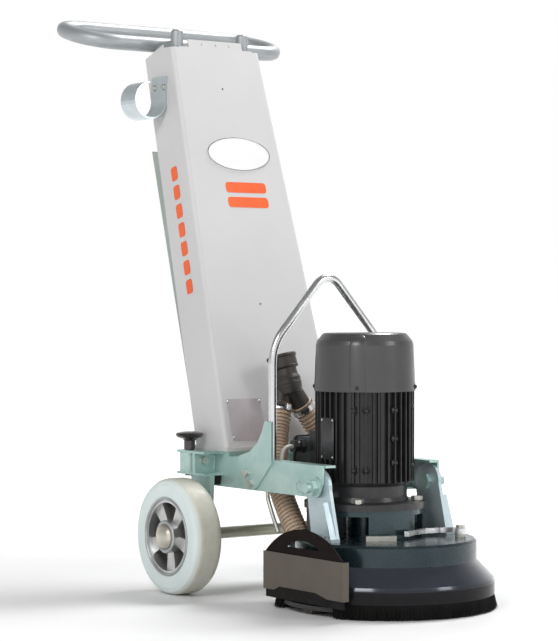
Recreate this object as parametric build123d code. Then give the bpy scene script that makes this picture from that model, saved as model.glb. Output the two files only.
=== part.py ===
from build123d import *
import math
import os

os.makedirs("parts", exist_ok=True)

# Walk-behind concrete floor grinder, millimetres.
# Machine axes: X forward, Y to the operator's left, Z up from the floor, X = Y = 0 on the motor axis.
# Everything is moved by SHIFT_X at the end, so that the origin is the bottom centre of the whole machine.

# ---- chassis ----
ARM_FACE = 123.0          # outer face of each side arm from the centre plane
ARM_LOW, ARM_HIGH = 183.0, 236.5
ARM_REAR, ARM_FRONT = -340.0, 47.0
ARM_WEB, ARM_FLANGE = 4.0, 20.0
DECK_T = 8.0
BAIL_X, BAIL_Y, BAIL_D = -104.0, 116.0, 14.0
BAIL_SHOULDER, BAIL_CORNER = 431.0, 560.0

# ---- column ----
COL_BASE, COL_TOP = 251.0, 968.0
COL_FRONT, COL_DEPTH = -230.0, 94.0
COL_HALF_BASE, COL_HALF_TOP = 125.5, 96.5
COL_LEAN = 0.3058         # run of the front face backwards per mm of height
COL_SHEET = 2.5
TONGUE = 16.0             # raised middle of the front panel's top edge
DOOR_LOW, DOOR_HIGH, DOOR_OUT = 330.0, 777.0, 24.0

# ---- handlebar loop ----
BAR_D = 28.0
BAR_FRONT_X, BAR_FRONT_Z = -536.0, 980.0
BAR_REAR_X, BAR_REAR_Z = -670.0, 1018.0
BAR_HALF, BAR_CORNER = 219.0, 62.0
CLAMP_Y = 72.0

# ---- wheels ----
WHEEL_X, WHEEL_R = -266.0, 100.0
WHEEL_OUT, WHEEL_IN = 227.0, 172.0
RIM_R, HUB_R, CAP_R = 66.0, 28.0, 21.0
AXLE_R, AXLE_RUN = 10.0, 0.05

# ---- head: pivot, motor, drive ----
PIVOT_X, PIVOT_Z, PIN_R = 28.0, 200.0, 8.0
MOTOR_R = 76.0
FLANGE_R, DRUM_R = 101.7, 98.0
DRUM_LOW, DRUM_HIGH = 114.0, 160.5
BELL_TOP, FIN_TOP = 205.0, 355.0
FAN_TOP = 452.0
SHAFT_R = 12.0
HEAD_X = 57.0             # grinding axis ahead of the motor axis: pinion 19 teeth, gear 38 teeth, module 2
PINION_R, GEAR_R = 19.0, 38.0
BAND_R, BAND_LOW = 150.3, 80.0
SHOULDER_R, SHOULDER_Z, BRUSH_Z = 180.0, 50.0, 24.0
BRUSH_R = 185.0
DISC_R, DISC_LOW, DISC_HIGH = 172.0, 9.0, 16.0
COVER_Y = 172.0
COVER_X0, COVER_X1, COVER_FLANGE = -51.0, 167.0, 12.0

SHIFT_X = -(BAR_REAR_X - BAR_D / 2 + HEAD_X + BRUSH_R) / 2


def block(x0, x1, y0, y1, z0, z1):
    return Pos((x0 + x1) / 2, (y0 + y1) / 2, (z0 + z1) / 2) * Box(x1 - x0, y1 - y0, z1 - z0)


def rod_x(r, y, z, x0, x1):
    return Pos((x0 + x1) / 2, y, z) * Rot(0, 90, 0) * Cylinder(r, x1 - x0)


def rod_y(r, x, z, y0, y1):
    return Pos(x, (y0 + y1) / 2, z) * Rot(90, 0, 0) * Cylinder(r, y1 - y0)


def rod_z(r, x, y, z0, z1):
    return Pos(x, y, (z0 + z1) / 2) * Cylinder(r, z1 - z0)


def hex_y(across, x, z, y0, y1):
    head = extrude(RegularPolygon(across / 2, 6, major_radius=False), amount=y1 - y0)
    return Pos(x, y1, z) * Rot(90, 0, 0) * head


def hex_z(across, x, y, z0, z1):
    head = extrude(RegularPolygon(across / 2, 6, major_radius=False), amount=z1 - z0)
    return Pos(x, y, z0) * head


def hex_x(across, y, z, x0, x1):
    head = extrude(RegularPolygon(across / 2, 6, major_radius=False), amount=x1 - x0)
    return Pos(x0, y, z) * Rot(0, 90, 0) * head


def slab_xz(outline, y0, y1):
    face = make_face(Polyline(*[(x, y0, z) for x, z in outline], close=True))
    return extrude(face, amount=y1 - y0, dir=(0, 1, 0))


def slab_yz(outline, x0, x1):
    face = make_face(Polyline(*[(x0, y, z) for y, z in outline], close=True))
    return extrude(face, amount=x1 - x0, dir=(1, 0, 0))


def slab_xy(outline, z0, z1):
    face = make_face(Polyline(*[(x, y, z0) for x, y in outline], close=True))
    return extrude(face, amount=z1 - z0, dir=(0, 0, 1))


def turned(profile, x=0.0, y=0.0):
    face = make_face(Polyline(*[(x + r, y, z) for r, z in profile], close=True))
    return revolve(face, axis=Axis((x, y, 0), (0, 0, 1)), revolution_arc=360)


def along_y(shape, x, y, z):
    """Stand a piece turned about Z on its side, its +Z end pointing to -Y."""
    return Pos(x, y, z) * Rot(90, 0, 0) * shape


def route(points, share=0.45):
    """Straight runs joined by tangent arcs, each as large as its two runs allow."""
    vectors = [Vector(*p) for p in points]
    radii = []
    for a, b, c in zip(vectors, vectors[1:], vectors[2:]):
        turn = math.radians((b - a).get_angle(c - b))
        radii.append(share * min((b - a).length, (c - b).length) / math.tan(turn / 2))
    return FilletPolyline(*points, radius=radii), radii


def tube(path, r, bore=None):
    start = Plane(origin=path @ 0, z_dir=path % 0)
    body = sweep(start * Circle(r), path=path)
    if bore:
        body = body - sweep(start * Circle(bore), path=path)
    return body


def mirrored(shape):
    return mirror(shape, about=Plane.XZ)


def both(shape):
    return [shape, mirrored(shape)]


def solids_of(*shapes):
    """Every solid in the shapes given, lists included."""
    found = []
    for shape in shapes:
        if isinstance(shape, (list, tuple)):
            found += solids_of(*shape)
        else:
            found += list(shape.solids())
    return found


def save(name, *shapes):
    """Write one node: its solids, in the shifted frame."""
    solids = [Pos(SHIFT_X, 0, 0) * solid for solid in solids_of(*shapes)]
    node = solids[0] if len(solids) == 1 else Compound(children=solids)
    node.label = name
    export_step(node, f"parts/{name}.step")


def col_front(z):
    return COL_FRONT - COL_LEAN * (z - COL_BASE)


def col_half(z):
    share = (z - COL_BASE) / (COL_TOP - COL_BASE)
    return COL_HALF_BASE + (COL_HALF_TOP - COL_HALF_BASE) * share


# ======================= side arms, deck, cross tubes =======================
def arm():
    profile = [(ARM_REAR, ARM_LOW), (20, ARM_LOW), (38, ARM_LOW + 9), (ARM_FRONT, ARM_LOW + 24),
               (ARM_FRONT, ARM_HIGH), (ARM_REAR, ARM_HIGH)]
    web = slab_xz(profile, -ARM_FACE, -ARM_FACE + ARM_WEB)
    top = block(ARM_REAR, ARM_FRONT + 4, -ARM_FACE + ARM_WEB, -ARM_FACE + ARM_WEB + ARM_FLANGE,
                ARM_HIGH - 4, ARM_HIGH)
    low = block(ARM_REAR, -16, -ARM_FACE + ARM_WEB, -ARM_FACE + ARM_WEB + ARM_FLANGE, ARM_LOW, ARM_LOW + 4)
    channel = web + top + low
    channel -= rod_y(PIN_R + 0.05, PIVOT_X, PIVOT_Z, -130, -100)
    for x, z in GUSSET_BOLTS:
        channel -= rod_y(4.05, x, z, -130, -110)
    return channel


GUSSET_BOLTS = [(-166, 211), (-153, 195)]
CONDUIT = (-100.0, -99.0)
arm_right = arm()
conduit = rod_z(13, *CONDUIT, 200, ARM_HIGH) - rod_z(10.5, *CONDUIT, 204, 240)
conduit += block(-104, -96, -ARM_FACE + ARM_WEB, -111, 206, 228)
save("side_arms", arm_right - rod_z(13, *CONDUIT, 230, 240), mirrored(arm_right), conduit)

ARM_INNER = ARM_FACE - ARM_WEB
deck = block(-336, -225, -ARM_FACE, ARM_FACE, ARM_HIGH, ARM_HIGH + DECK_T)
deck -= block(-312, -250, -60, 60, 230, 250)
FOOT_BOLTS = [(x, y) for x in (-328, -240) for y in (-85, 85)]
for x, y in FOOT_BOLTS:
    deck -= rod_z(4.05, x, y, 230, 250)


def square_tube(x0, x1, z0, z1, wall=3.0):
    reach = ARM_INNER - ARM_FLANGE
    outside = block(x0, x1, -reach, reach, z0, z1)
    return outside - block(x0 + wall, x1 - wall, -reach, reach, z0 + wall, z1 - wall)


save("cross_members", deck, square_tube(-318, -278, ARM_HIGH - 40, ARM_HIGH),
     square_tube(-266, -250, ARM_HIGH - 20, ARM_HIGH))


def gusset():
    outline = [(-180, 184.5), (-142, 184.5), (-128, 196), (-92, 232), (-92, 302), (-112, 302), (-120, 284),
               (-134, 264), (-156, 249), (-188, 240), (-190, 225)]
    plate = slab_xz(outline, -ARM_FACE - 4, -ARM_FACE)
    for x, z in GUSSET_BOLTS:
        plate -= rod_y(4.05, x, z, -130, -110)
    return plate


save("gusset_plates", both(gusset()))


def gusset_bolt(x, z):
    head = hex_y(13, x, z, -ARM_FACE - 4 - 5.3, -ARM_FACE - 4)
    shank = rod_y(4.0, x, z, -ARM_FACE - 4, -ARM_FACE + ARM_WEB)
    nut = hex_y(13, x, z, -ARM_FACE + ARM_WEB, -ARM_FACE + ARM_WEB + 6.5)
    return head + shank + nut


fasteners = [both(gusset_bolt(x, z)) for x, z in GUSSET_BOLTS]

# Lifting bail: a round bar bent to an arch between the gussets.
bail_points = [(BAIL_X, -BAIL_Y, ARM_HIGH), (BAIL_X, -BAIL_Y, BAIL_SHOULDER), (BAIL_X, 0, BAIL_CORNER),
               (BAIL_X, BAIL_Y, BAIL_SHOULDER), (BAIL_X, BAIL_Y, ARM_HIGH)]
bail_path = FilletPolyline(*bail_points, radius=[84, 31, 84])
save("lifting_bail", tube(bail_path, BAIL_D / 2))

# ======================= column =======================


def column_form(inset):
    """The column's leaning, tapering form, drawn in by a wall thickness and running on above its top edge."""
    low, high = COL_BASE, COL_TOP + 60
    side = [(col_front(low) - inset, low), (col_front(high) - inset, high),
            (col_front(high) - COL_DEPTH + inset, high), (col_front(low) - COL_DEPTH + inset, low)]
    taper = [(-col_half(low) + inset, low), (col_half(low) - inset, low),
             (col_half(high) - inset, high), (-col_half(high) + inset, high)]
    body = slab_xz(side, -150, 150) & slab_yz(taper, -700, 0)
    front = body.edges().filter_by(lambda e: e.length > 600).sort_by(Axis.X)[-2:]
    return fillet(front, 8.0 - inset)


# the top edge falls towards the rear, and a roof plate closes the column below the handlebar
front_top, rear_top = COL_TOP + TONGUE, COL_TOP - 16
ROOF = (900.0, 912.0)
above = slab_xz([(col_front(front_top), front_top), (col_front(rear_top) - COL_DEPTH, rear_top),
                 (-700, rear_top), (-700, 1100), (-300, 1100), (-300, front_top)], -150, 150)
hollow = column_form(COL_SHEET) - block(-700, 0, -150, 150, *ROOF)
# the rear is open between two return flanges
rear_open = slab_xz([(col_front(345) - COL_DEPTH + 12, 345), (col_front(898) - COL_DEPTH + 12, 898),
                     (col_front(898) - COL_DEPTH - 12, 898), (col_front(345) - COL_DEPTH - 12, 345)], -74, 74)
housing = column_form(0.0) - above - hollow - rear_open
# shoulders either side of the raised tongue, and notches for the two bar clamps
for side in (-1, 1):
    y0, y1 = sorted((side * 80, side * 120))
    housing -= block(-480, -400, y0, y1, COL_TOP, 1000)
    y0, y1 = sorted((side * (CLAMP_Y - 13), side * (CLAMP_Y + 13)))
    housing -= block(-480, -400, y0, y1, COL_TOP + 2, 1000)
for x, y, z in [(0, 0, 894), (0, 0, 500)]:
    housing -= rod_x(2.0, y, z, -480, -280)
for y in (-30, 0, 30):
    housing -= rod_x(1.8, y, 976, -480, -420)
TAPER_DEG = math.degrees(math.atan((COL_HALF_BASE - COL_HALF_TOP) / (COL_TOP - COL_BASE)))
HOOK_X, HOOK_Z, HOOK_BOLT = -484.0, 868.0, 27.0
hook_place = Pos(HOOK_X, -col_half(HOOK_Z), HOOK_Z) * Rot(-TAPER_DEG, 0, 0)
for x in (-16, 16):
    housing -= hook_place * rod_y(3.05, x, HOOK_BOLT, -10, 10)
foot = block(-336, -225, -126.5, 126.5, ARM_HIGH + DECK_T, COL_BASE)
foot -= block(-318, -248, -112, 112, 240, 255)
for x, y in FOOT_BOLTS:
    foot -= rod_z(4.05, x, y, 240, 255)
save("column_housing", housing + foot)


def foot_bolt(x, y):
    head = hex_z(13, x, y, ARM_HIGH - 5.3, ARM_HIGH)
    return head + rod_z(4.0, x, y, ARM_HIGH, COL_BASE)


fasteners += [foot_bolt(x, y) for x, y in FOOT_BOLTS]

# Rear door: a shallow wedge box hinged in look, screwed on in fact, deeper at its top.
rear_low = col_front(DOOR_LOW) - COL_DEPTH
rear_high = col_front(DOOR_HIGH) - COL_DEPTH
door_side = [(rear_low, DOOR_LOW), (rear_high, DOOR_HIGH), (rear_high - DOOR_OUT, DOOR_HIGH + 3),
             (rear_low - 4, DOOR_LOW)]
door_void = [(rear_low + 6, DOOR_LOW + 14), (rear_high + 6, DOOR_HIGH - 10),
             (rear_high - DOOR_OUT + 2, DOOR_HIGH + 1), (rear_low - 2, DOOR_LOW + 2)]
door_taper = [(-col_half(DOOR_LOW) + 3, DOOR_LOW), (col_half(DOOR_LOW) - 3, DOOR_LOW),
              (col_half(DOOR_HIGH) - 3, DOOR_HIGH + 4), (-col_half(DOOR_HIGH) + 3, DOOR_HIGH + 4)]
door = slab_xz(door_side, -140, 140) & slab_yz(door_taper, -700, -200)
door_core = slab_xz(door_void, -140, 140) & slab_yz(
    [(y * 0.976, z) for y, z in door_taper], -700, -200)
door = door - door_core
save("rear_door", door)

# Operator panel above the door, square to the leaning rear face.
LEAN_DEG = math.degrees(math.atan(COL_LEAN))


def on_rear(z, y, shape, out=0.0):
    """Place a piece drawn along +Z so that +Z points out of the column's rear face."""
    x = col_front(z) - COL_DEPTH
    return Pos(x, y, z) * Rot(0, -90 - LEAN_DEG, 0) * Pos(0, 0, out) * shape


panel = on_rear(854, 0, extrude(RectangleRounded(150, 160, 8), amount=3))
BUTTONS = {"start_button": (878, 46, 11.0), "stop_button": (878, 10, 11.0)}
ESTOP = (872, -36)
INLET = (812, 0)


def rim_ring(r):
    return rod_z(r + 3.3, 0, 0, 3, 8) - rod_z(r + 0.3, 0, 0, 0, 20)


for z, y, r in BUTTONS.values():
    panel -= on_rear(z, y, rod_z(r + 0.3, 0, 0, -20, 20))
    panel += on_rear(z, y, rim_ring(r))
panel -= on_rear(*ESTOP, rod_z(8.3, 0, 0, -20, 20))
panel -= on_rear(*INLET, rod_z(23.0, 0, 0, -20, 20))
save("control_panel", panel)
for name, (z, y, r) in BUTTONS.items():
    cap = fillet(rod_z(r, 0, 0, -14, 12).edges().sort_by(Axis.Z)[-1:], 1.5)
    save(name, on_rear(z, y, cap))
mushroom = turned([(0, -14), (8, -14), (8, 11), (12, 11), (19, 15), (20, 18), (17, 23), (8, 26), (0, 27)])
save("emergency_stop", on_rear(*ESTOP, mushroom))
inlet = turned([(0, -30), (22.95, -30), (22.95, 3), (27, 3), (27, 7), (24, 7), (24, 38), (20, 38), (20, -8),
                (0, -8)])
for angle in (45, 135, 225, 315):
    inlet += Rot(0, 0, angle) * rod_z(2.8, 11, 0, -8, 24)
save("power_inlet", on_rear(*INLET, inlet))


# ======================= plates and switchgear on the column's front wall =======================
def on_front(z, y, shape):
    """Place a piece drawn along +Z so that +Z points out of the column's front face."""
    return Pos(col_front(z), y, z) * Rot(0, 90 - LEAN_DEG, 0) * shape


save("name_plates", on_front(773, 10, extrude(Ellipse(32, 68), amount=1.2)),
     on_front(298, -73, extrude(Rectangle(75, 72), amount=0.8)))
gear_plate = block(-80, 80, -70, 70, -25, -22.5)
for x in (-68, 68):
    for y in (-58, 58):
        gear_plate += rod_z(4, x, y, -22.5, -COL_SHEET)
contactor = block(-40, 32, -52, -6, -62, -25) + block(-28, 20, -46, -12, -74, -62)
relay = block(-30, 34, 8, 50, -56, -25) + rod_z(6, 20, 29, -60, -56)
save("switchgear", [on_front(650, 0, shape) for shape in (gear_plate, contactor, relay)])

# ======================= handlebar =======================
loop = [(BAR_FRONT_X, 0, BAR_FRONT_Z), (BAR_FRONT_X, -BAR_HALF, BAR_FRONT_Z),
        (BAR_REAR_X, -BAR_HALF, BAR_REAR_Z), (BAR_REAR_X, 0, BAR_REAR_Z)]
half_loop = tube(FilletPolyline(*loop, radius=BAR_CORNER), BAR_D / 2)
handle = half_loop + mirrored(half_loop)
save("handle_loop", handle)

POST_X, POST_TOP, POST_R = -470.0, 1002.0, 11.5


def bar_post(y):
    """Upright tube behind its notch in the front panel, with a stub back to the loop's front bar."""
    upright = fillet(rod_z(POST_R, POST_X, y, ROOF[1], POST_TOP).edges().sort_by(Axis.Z)[-1:], 5.0)
    stub = rod_x(POST_R - 1, y, BAR_FRONT_Z - 6, BAR_FRONT_X, POST_X)
    return upright + stub - rod_y(BAR_D / 2, BAR_FRONT_X, BAR_FRONT_Z, y - 20, y + 20)


save("handle_posts", bar_post(-CLAMP_Y), bar_post(CLAMP_Y))

# ======================= hose hook =======================


def hose_hook():
    """Strip screwed to the right side wall, rolled outwards and up into an open cradle."""
    t, r, wide, top, reach = 3.0, 34.0, 50.0, 46.0, 264
    turns = [math.radians(a) for a in range(0, reach + 1, 11)]
    outer = [(-r + r * math.cos(a), -r * math.sin(a)) for a in turns]
    inner = [(-r + (r - t) * math.cos(a), -(r - t) * math.sin(a)) for a in turns[::-1]]
    strip = slab_yz([(0, top)] + outer + inner + [(-t, top)], -wide / 2, wide / 2)
    for x in (-16, 16):
        strip -= rod_y(3.05, x, HOOK_BOLT, -10, 10)
    return strip


def hook_bolt(x):
    head = rod_y(5.5, x, HOOK_BOLT, -7, -3)
    return fillet(head.edges().sort_by(Axis.Y)[:1], 2.0) + rod_y(3.0, x, HOOK_BOLT, -3, 6)


save("hose_hook", hook_place * hose_hook())
fasteners += [hook_place * hook_bolt(x) for x in (-16, 16)]


# ======================= wheel carriers, axle, wheels =======================
PLUNGER = (-305.0, -152.0)


def carrier():
    """Welded bracket outside the arm: two ears, the plunger barrel, webs and the leg down to the axle."""
    top = block(-326, -240, -165, -ARM_FACE, 240.5, 244.5)
    low = block(-326, -240, -165, -ARM_FACE, 203, 207)
    barrel = rod_z(17, *PLUNGER, 207, 240.5)
    web = block(-300, -276, -152, -146, 207, 240.5)
    nose = block(-276, -268, -165, -ARM_FACE, 207, 240.5)
    shoe = block(-290, -276, -156, -ARM_FACE, 207, 236.5)
    leg = slab_xz([(-300, 203), (-238, 203), (-246, 86), (-286, 86)], -152, -144)
    boss = rod_y(19, WHEEL_X, 100, -170, -140)
    body = top + low + barrel + web + nose + shoe + leg + boss
    body -= rod_z(8.05, *PLUNGER, 200, 250)
    body -= rod_y(AXLE_R, WHEEL_X, 100, -180, -130)
    body -= rod_x(4.05, -146, 228, -280, -260)
    return body


save("wheel_carriers", both(carrier()))
carrier_bolt = hex_x(13, -146, 228, -268, -262.7) + rod_x(4.0, -146, 228, -280, -268)
save("chassis_fasteners", fasteners, both(carrier_bolt))
stop = slab_xz([(-248, 187), (-240, 187), (-238, 203), (-250, 203)], -143.5, -130)
save("rubber_stops", both(stop))

plunger = turned([(0, 200), (8, 200), (8, 246), (10, 246), (10, 261), (14, 264), (22, 267), (25, 271),
                  (23, 274.5), (16, 276.5), (8, 277.5), (0, 278)], *PLUNGER)
save("index_knob_right", plunger)
save("index_knob_left", mirrored(plunger))

axle = rod_y(AXLE_R, WHEEL_X, 100, -WHEEL_OUT, WHEEL_OUT)
save("axle", axle)


def wheel_parts():
    """Right wheel, drawn about Z and laid on its side: +Z end is the outer face."""
    wide = WHEEL_OUT - WHEEL_IN
    hub = turned([(17.05, -wide / 2), (HUB_R, -wide / 2), (HUB_R, wide / 2), (17.05, wide / 2)])
    band = turned([(RIM_R - 7, -wide / 2 + 3), (RIM_R, -wide / 2 + 3), (RIM_R, wide / 2 - 3),
                   (RIM_R - 7, wide / 2 - 3)])
    web = turned([(HUB_R - 1, -10), (RIM_R - 6, -10), (RIM_R - 6, -2), (HUB_R - 1, -2)])
    rim = hub + band + web
    for i in range(5):
        spoke = slab_xy([(HUB_R - 2, -9), (RIM_R - 5, -14), (RIM_R - 5, 14), (HUB_R - 2, 9)], -3, 17)
        rim += Rot(0, 0, 56 + 72 * i) * spoke
    tyre = turned([(RIM_R, -wide / 2 + 3), (RIM_R + 4, -wide / 2), (88, -wide / 2), (95, -wide / 2 + 3),
                   (WHEEL_R - 1, -wide / 2 + 9), (WHEEL_R, -wide / 2 + 14), (WHEEL_R, wide / 2 - 14),
                   (WHEEL_R - 1, wide / 2 - 9), (95, wide / 2 - 3), (88, wide / 2), (RIM_R + 4, wide / 2),
                   (RIM_R, wide / 2 - 3)])
    run = AXLE_R + AXLE_RUN
    bearing = turned([(run, 12), (17.05, 12), (17.05, 22), (run, 22)])
    bearings = bearing + Pos(0, 0, -34) * bearing
    cap = turned([(0, wide / 2), (CAP_R, wide / 2), (CAP_R, wide / 2 + 3), (18, wide / 2 + 8),
                  (12, wide / 2 + 11), (5, wide / 2 + 12.5), (0, wide / 2 + 12.7)])
    cap -= rod_z(AXLE_R + 1, 0, 0, wide / 2 - 1, wide / 2 + 1)
    return {"wheel_rim": [rim], "tyre": [tyre], "hub_fittings": [bearings, cap]}


for name, shapes in wheel_parts().items():
    pieces = [along_y(shape, WHEEL_X, -(WHEEL_OUT + WHEEL_IN) / 2, 100) for shape in shapes]
    save(name + "_right", pieces)
    save(name + "_left", [mirrored(piece) for piece in pieces])

# Hanging stop rod under the right arm.
stay_path, _ = route([(-124, -112, ARM_LOW), (-124, -112, 171), (-106, -114, 142), (-88, -115, 116)])
save("stop_rod", tube(stay_path, 3.5))

# ======================= head pivot =======================
PAD_BOLT_Y = 123.5
PAD_BOLT_X = (24, 62)


def bracket():
    """Upright plate on the gear case, its rounded head on the pivot bolt, with an outward front flange."""
    arc = [(PIVOT_X + 31 * math.cos(math.radians(a)), PIVOT_Z + 31 * math.sin(math.radians(a)))
           for a in range(-6, 187, 8)]
    web = slab_xz([(10, DRUM_LOW), (80, DRUM_LOW)] + arc, -118, -112)
    flange = slab_xz([(76, DRUM_LOW), (80, DRUM_LOW), (58.5, 178), (54.5, 178)], -130, -118)
    pad = block(10, 80, -130, -112, DRUM_LOW, DRUM_LOW + 5)
    body = web + flange + pad
    body -= rod_y(PIN_R + 0.05, PIVOT_X, PIVOT_Z, -140, -100)
    for x in PAD_BOLT_X:
        body -= rod_z(3.05, x, -PAD_BOLT_Y, 100, 125)
    return body


save("pivot_brackets", both(bracket()))
pin = rod_y(PIN_R, PIVOT_X, PIVOT_Z, -144, -104) + hex_y(24, PIVOT_X, PIVOT_Z, -111.7, -104)
hole = rod_y(PIN_R, PIVOT_X, PIVOT_Z, -150, -90)
washer = rod_y(17, PIVOT_X, PIVOT_Z, -ARM_FACE - 3, -ARM_FACE) - hole
nut = hex_y(24, PIVOT_X, PIVOT_Z, -136, -ARM_FACE - 3) - hole
clip_path, _ = route([(PIVOT_X + 14, -140, PIVOT_Z + 4), (PIVOT_X - 10, -140, PIVOT_Z + 3),
                      (PIVOT_X - 26, -140, PIVOT_Z + 9), (PIVOT_X - 34, -140, PIVOT_Z + 2),
                      (PIVOT_X - 24, -140, PIVOT_Z - 9), (PIVOT_X - 10, -140, PIVOT_Z - 10)])
clip = (tube(clip_path, 1.4) - hole).solids().sort_by(Axis.X)[0]
save("pivot_pins", [both(shape) for shape in (pin, washer, nut, clip)])

# ======================= gear case, drum, shroud =======================
right_route = [(-214, -20, 326), (-209, -28, 296), (-196, -42, 262), (-174, -58, 226), (-146, -73, 190),
               (-110, -80, 148), (-72, -84, 107.5)]
left_route = [(-205, 17, 324), (-203, 36, 298), (-198, 53, 270), (-184, 66, 239), (-156, 74, 200),
              (-117, 78, 155), (-72, 84, 107.5)]


def spigot(points, r, back, ahead=0.0):
    """A round bar in line with the first run of a hose, from inside its fitting to its end face."""
    a, b = Vector(*points[0]), Vector(*points[1])
    direction = (a - b).normalized()
    start = a - direction * ahead
    return Plane(origin=start + direction * (back + ahead) / 2, z_dir=direction) * Cylinder(r, back + ahead)


case = turned([(30, 52), (40, 52), (40, BAND_LOW - 4), (BAND_R - 8, BAND_LOW - 4), (BAND_R - 8, BAND_LOW),
               (BAND_R, BAND_LOW), (BAND_R, 104), (BAND_R - 8, 104), (BAND_R - 8, 84), (30, 84)], HEAD_X, 0)
lid = turned([(0, 104), (BAND_R, 104), (BAND_R, 110), (BAND_R - 4, DRUM_LOW), (0, DRUM_LOW)], HEAD_X, 0)
lid -= rod_z(34, 0, 0, 100, 120)
for points in (right_route, left_route):
    case -= spigot(points[::-1], 22.0, 60, 40)
    lid -= spigot(points[::-1], 22.0, 0, 40)
    lid += spigot(points[::-1], 22.0, 38)
    lid -= spigot(points[::-1], 18.0, 70, 5)
for x in PAD_BOLT_X:
    for side in (-1, 1):
        lid -= rod_z(3.05, x, side * PAD_BOLT_Y, 102, 125)
save("gear_case", case)
save("gear_case_lid", lid)
head_fasteners = []
for x in PAD_BOLT_X:
    screw = hex_z(10, x, -PAD_BOLT_Y, DRUM_LOW + 5, DRUM_LOW + 9)
    screw += rod_z(3.0, x, -PAD_BOLT_Y, 104, DRUM_LOW + 5)
    head_fasteners.append(both(screw))

wall = turned([(DRUM_R - 8, DRUM_LOW), (DRUM_R, DRUM_LOW), (DRUM_R, DRUM_HIGH), (40, DRUM_HIGH),
               (40, DRUM_HIGH - 8), (DRUM_R - 8, DRUM_HIGH - 8)])
window = slab_xy([(50, -34), (140, -34), (140, 34), (50, 34)], DRUM_LOW - 1, DRUM_HIGH - 9)
for angle in (-54, 40, 133, 220):
    wall -= Rot(0, 0, angle) * window
wall += rod_z(32, 0, 0, DRUM_LOW, DRUM_HIGH - 8) - rod_z(28, 0, 0, DRUM_LOW - 1, DRUM_HIGH)
save("adaptor_drum", wall)

shroud = turned([(SHOULDER_R - 3, BRUSH_Z), (SHOULDER_R, BRUSH_Z), (SHOULDER_R, SHOULDER_Z - 4),
                 (SHOULDER_R - 2, SHOULDER_Z + 1), (BAND_R, BAND_LOW), (BAND_R - 8, BAND_LOW),
                 (BAND_R - 8, BAND_LOW - 4), (BAND_R - 3, BAND_LOW - 4), (SHOULDER_R - 3, SHOULDER_Z - 4)],
                HEAD_X, 0)
shroud -= block(-200, 320, -200, -163, 0, 100)
cheek = block(HEAD_X - 76, HEAD_X + 76, -163, -161, BRUSH_Z, 60)
shroud += cheek - rod_z(SHOULDER_R - 8, HEAD_X, 0, 0, 56)
for points in (right_route, left_route):
    shroud -= spigot(points[::-1], 22.0, 60, 40)
save("shroud", shroud)

skirt = turned([(SHOULDER_R - 3, BRUSH_Z), (SHOULDER_R, BRUSH_Z), (BRUSH_R, 0), (SHOULDER_R, 0)], HEAD_X, 0)
skirt -= block(-200, 320, -200, -163, -5, 100)
save("brush_skirt", skirt)

# ======================= drive line =======================
shaft = rod_z(SHAFT_R, 0, 0, 85.5, 392) + rod_z(41.5, 0, 0, 232, 318)
save("motor_rotor", shaft)


def gear_wheel(pitch_r, teeth, bore, z0, z1):
    module = 2 * pitch_r / teeth
    root, tip = pitch_r - 1.25 * module, pitch_r + module - 0.15
    sketch = Circle(root)
    tooth = Polyline((root - 1, -0.72 * module), (tip, -0.34 * module), (tip, 0.34 * module),
                     (root - 1, 0.72 * module), close=True)
    face = make_face(tooth)
    sketch += [Rot(0, 0, 360 * i / teeth) * face for i in range(teeth)]
    return extrude(sketch - Circle(bore), amount=z1 - z0).moved(Location((0, 0, z0)))


save("pinion", gear_wheel(PINION_R, 19, SHAFT_R, 86, 98))
gear = Pos(HEAD_X, 0, 0) * Rot(0, 0, 180 + 180 / 38) * gear_wheel(GEAR_R, 38, 14, 86, 98)
save("spindle_gear", gear)
spindle = rod_z(14, HEAD_X, 0, DISC_HIGH, 98) + rod_z(40, HEAD_X, 0, DISC_HIGH, 24)
save("spindle", spindle)
spindle_bearing = rod_z(30, HEAD_X, 0, 54, 68) - rod_z(14.05, HEAD_X, 0, 50, 90)
bearings = [spindle_bearing, Pos(0, 0, 15) * spindle_bearing]
save("grinding_disc", rod_z(DISC_R, HEAD_X, 0, DISC_LOW, DISC_HIGH))
segment = slab_xy([(110, -10), (160, -12), (160, 12), (110, 10)], 1, DISC_LOW)
save("diamond_segments", [Pos(HEAD_X, 0, 0) * Rot(0, 0, 30 * i) * segment for i in range(12)])

# ======================= motor =======================
bell = turned([(26, DRUM_HIGH), (FLANGE_R, DRUM_HIGH), (FLANGE_R, 171), (74, 173), (71, 180), (71, 198),
               (76, BELL_TOP), (66, BELL_TOP), (66, 184), (34, 182), (34, 190), (26, 190)])
BELL_BOLTS = [(88 * math.cos(a), 88 * math.sin(a)) for a in [math.radians(45 + 90 * i) for i in range(4)]]
for x, y in BELL_BOLTS:
    bell -= rod_z(5.05, x, y, 150, 180)


def bell_bolt(x, y):
    return hex_z(17, x, y, 173, 179.5) + rod_z(5.0, x, y, DRUM_HIGH, 173)


head_fasteners += [bell_bolt(x, y) for x, y in BELL_BOLTS]
section = Circle(MOTOR_R)
fin_angles = [a for a in range(0, 360, 9) if a not in (180, 171, 189)]
section += [Rot(0, 0, a) * Pos(MOTOR_R + 2.5, 0) * Rectangle(9.5, 2.4) for a in fin_angles]
bosses = [Rot(0, 0, a) * Pos(MOTOR_R + 1, 0) * Rectangle(9, 11) for a in (-54, -18, 36, 108, 252)]
section += bosses
section -= Circle(68)
body = extrude(section, amount=FIN_TOP - BELL_TOP).moved(Location((0, 0, BELL_TOP)))
pad_block = block(-88, -66, -50, 50, 214, 286) - rod_z(68, 0, 0, 200, 300)
body += pad_block
save("motor_housing", body)
stator = rod_z(68, 0, 0, 228, 322) - rod_z(42, 0, 0, 220, 330)
save("stator_core", stator)
shield = rod_z(68, 0, 0, 341, FIN_TOP) - rod_z(24, 0, 0, 341, FIN_TOP)
save("motor_end_shields", bell, shield)
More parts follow.
